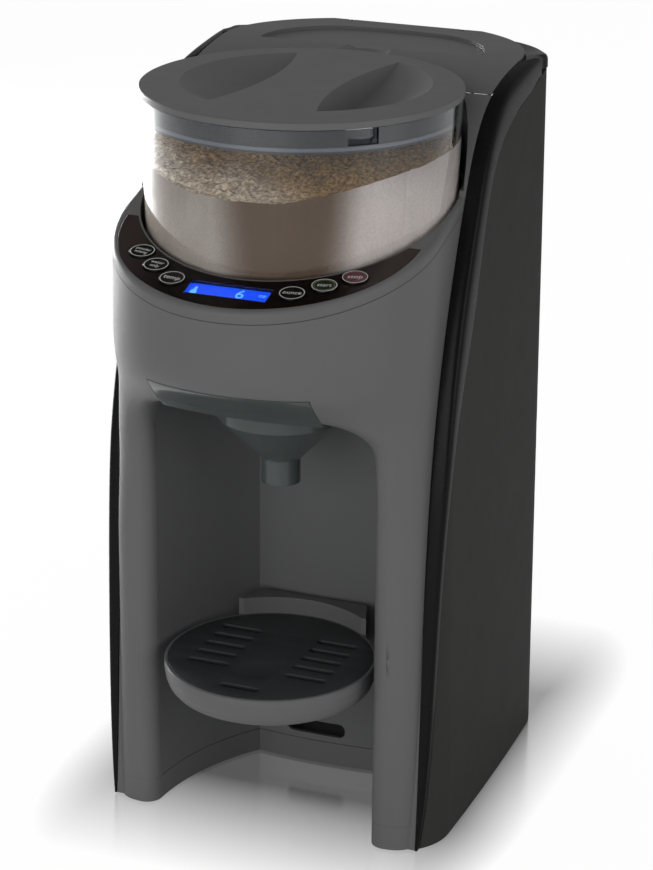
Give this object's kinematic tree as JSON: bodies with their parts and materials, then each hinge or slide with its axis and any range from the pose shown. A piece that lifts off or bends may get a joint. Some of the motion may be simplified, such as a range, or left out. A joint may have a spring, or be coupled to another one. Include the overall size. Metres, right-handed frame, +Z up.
{
  "type": "baby formula maker",
  "caption": "Counter-top machine that doses formula powder from a clear lidded container and warm water from a rear tank through a funnel into a bottle on a tray.",
  "frame": {"origin": "centre of the footprint, on the surface that the machine stands on", "axes": "+Z up, -Y towards the user (front, control panel), +X to the right seen from the back of the user"},
  "size_m": [0.188, 0.266, 0.3818],
  "materials": {
    "shell_grey": "satin moulded ABS",
    "panel_dark": "satin moulded ABS",
    "trim_black": "gloss black moulding",
    "liner_dark": "fine matt",
    "panel_gloss": "gloss black",
    "button_black": "gloss black",
    "display_glass": "clear pane",
    "display_blue": "lit blue",
    "clear_plastic": "clear polished",
    "smoke_plastic": "smoky translucent",
    "skirt_grey": "satin",
    "grille_black": "fine matt",
    "inner_plastic": "as moulded",
    "gear_nylon": "natural nylon",
    "white_plastic": "as moulded",
    "rubber_black": "matt",
    "silicone": "translucent silicone",
    "steel": "ground",
    "zinc": "zinc plated",
    "board_green": "circuit board",
    "bronze": "sintered bronze",
    "aluminium": "cast"
  },
  "bodies": {
    "housing": {"front_housing": "shell_grey", "upper_housing": "shell_grey", "rear_trim": "trim_black", "bay_liner": "liner_dark", "base_plate": "panel_dark", "rear_housing": "panel_dark", "tank_bay_wall": "liner_dark", "control_panel": "panel_gloss", "display_window": "display_glass", "display_module": "display_blue", "control_board": "board_green", "tact_switches": "inner_plastic", "board_screws": "zinc", "head_floor": "inner_plastic", "shaft_bush": "bronze", "dosing_motor": "zinc", "motor_screws": "zinc", "container_well": "liner_dark", "water_nozzle": "silicone", "nozzle_hose": "silicone", "pump_hose": "silicone", "tank_hose": "silicone", "tank_port": "silicone", "water_pump": "inner_plastic", "water_heater": "aluminium", "main_board": "board_green", "cord_gland": "rubber_black", "rubber_feet": "rubber_black", "base_screws": "zinc", "side_panel_left": "panel_dark", "side_panel_right": "panel_dark", "side_trim_left": "trim_black", "side_trim_right": "trim_black"},
    "drive": {"drive_shaft": "steel", "shaft_clip": "steel", "drive_gear": "gear_nylon"},
    "pinion": {"motor_shaft": "steel", "motor_pinion": "gear_nylon"},
    "container": {"powder_container": "clear_plastic", "container_base": "liner_dark"},
    "stirrer": {"portion_wheel": "white_plastic", "stirring_wheel": "white_plastic"},
    "lid": {"lid_top": "shell_grey", "lid_skirt": "skirt_grey", "lid_seal": "silicone"},
    "funnel": {"funnel": "smoke_plastic"},
    "tray": {"tray_body": "shell_grey"},
    "grille": {"drip_grille": "grille_black"},
    "tank": {"water_tank": "clear_plastic", "tank_valve": "white_plastic", "hinge_pins": "steel"},
    "tank_lid": {"tank_lid": "shell_grey"},
    "button_powder_setting": {"button_powder_setting": "button_black"},
    "button_water_only": {"button_water_only": "button_black"},
    "button_temperature": {"button_temperature": "button_black"},
    "button_ounces": {"button_ounces": "button_black"},
    "button_start": {"button_start": "button_black"},
    "button_stop": {"button_stop": "button_black"}
  },
  "joints": [
    {"name": "drive_spin", "type": "hinge", "parent": "housing", "child": "drive", "pos_m": [0, -0.0255, 0.26], "axis": [0, 0, 1], "continuous": true},
    {"name": "pinion_spin", "type": "hinge", "parent": "housing", "child": "pinion", "pos_m": [0, 0.0195, 0.26], "axis": [0, 0, 1], "continuous": true},
    {"name": "container_lift", "type": "slide", "parent": "housing", "child": "container", "axis": [0, 0, 1], "range_m": [0, 0.11]},
    {"name": "stirrer_spin", "type": "hinge", "parent": "container", "child": "stirrer", "pos_m": [0, -0.0255, 0.28], "axis": [0, 0, 1], "continuous": true},
    {"name": "lid_lift", "type": "slide", "parent": "container", "child": "lid", "axis": [0, 0, 1], "range_m": [0, 0.06]},
    {"name": "funnel_slide", "type": "slide", "parent": "housing", "child": "funnel", "axis": [0, -1, 0], "range_m": [0, 0.12]},
    {"name": "tray_slide", "type": "slide", "parent": "housing", "child": "tray", "axis": [0, -1, 0], "range_m": [0, 0.08]},
    {"name": "grille_lift", "type": "slide", "parent": "tray", "child": "grille", "axis": [0, 0, 1], "range_m": [0, 0.03]},
    {"name": "tank_lift", "type": "slide", "parent": "housing", "child": "tank", "axis": [0, 0, 1], "range_m": [0, 0.2]},
    {"name": "tank_lid_hinge", "type": "hinge", "parent": "tank", "child": "tank_lid", "pos_m": [0, 0.1249, 0.3782], "axis": [-1, 0, 0], "range_deg": [0, 75]},
    {"name": "button_powder_setting_press", "type": "slide", "parent": "housing", "child": "button_powder_setting", "axis": [0, 0.2748, -0.9615], "range_m": [0, 0.0008], "stiffness_N_per_m": 400, "springref_m": -0.001},
    {"name": "button_water_only_press", "type": "slide", "parent": "housing", "child": "button_water_only", "axis": [0, 0.2748, -0.9615], "range_m": [0, 0.0008], "stiffness_N_per_m": 400, "springref_m": -0.001},
    {"name": "button_temperature_press", "type": "slide", "parent": "housing", "child": "button_temperature", "axis": [0, 0.2748, -0.9615], "range_m": [0, 0.0008], "stiffness_N_per_m": 400, "springref_m": -0.001},
    {"name": "button_ounces_press", "type": "slide", "parent": "housing", "child": "button_ounces", "axis": [0, 0.2748, -0.9615], "range_m": [0, 0.0008], "stiffness_N_per_m": 400, "springref_m": -0.001},
    {"name": "button_start_press", "type": "slide", "parent": "housing", "child": "button_start", "axis": [0, 0.2748, -0.9615], "range_m": [0, 0.0008], "stiffness_N_per_m": 400, "springref_m": -0.001},
    {"name": "button_stop_press", "type": "slide", "parent": "housing", "child": "button_stop", "axis": [0, 0.2748, -0.9615], "range_m": [0, 0.0008], "stiffness_N_per_m": 400, "springref_m": -0.001}
  ],
  "couplings": [
    {"joint": "pinion_spin", "follows": "drive_spin", "ratio": -4},
    {"joint": "stirrer_spin", "follows": "drive_spin", "ratio": 1}
  ]
}
